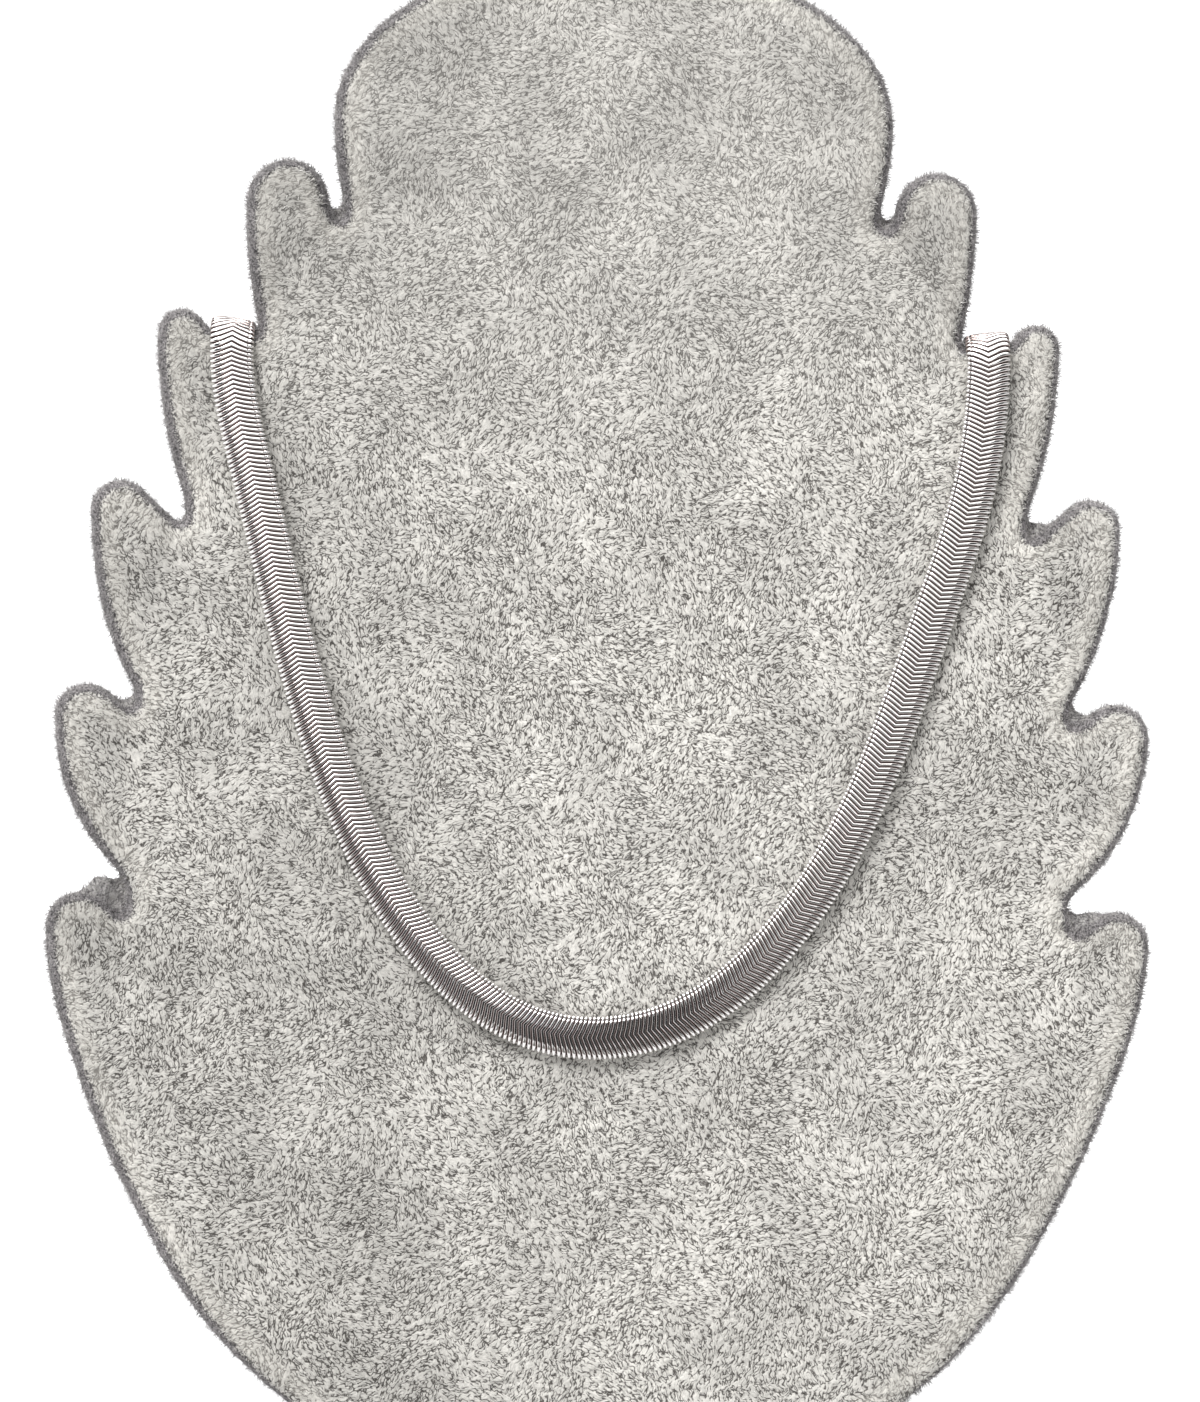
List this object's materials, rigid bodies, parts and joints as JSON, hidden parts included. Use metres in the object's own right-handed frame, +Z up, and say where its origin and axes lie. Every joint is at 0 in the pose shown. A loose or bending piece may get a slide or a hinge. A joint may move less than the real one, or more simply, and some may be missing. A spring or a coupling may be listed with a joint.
{
  "type": "flat snake chain necklace on display stand",
  "caption": "Whole-loop flat snake chain necklace hung in the notches of a plush-covered, leaf-shaped display board that leans back on a card easel leg.",
  "frame": {"origin": "centre of the bounding box in X and Y, on the surface that the stand's foot and leg rest on", "axes": "+X to the viewer's right, +Y from the front of the board to its leg, +Z up; the necklace faces -Y"},
  "size_m": [0.1992, 0.1, 0.2669],
  "materials": {
    "plush": "short pile, light warm grey",
    "card": "matte grey covering paper",
    "silver": "bright polished silver"
  },
  "bodies": {
    "root": {"display_board": "plush", "back_panel": "card", "easel_leg": "card", "chain": "silver", "end_cap_left": "silver", "end_cap_right": "silver", "clasp": "silver"}
  },
  "joints": []
}
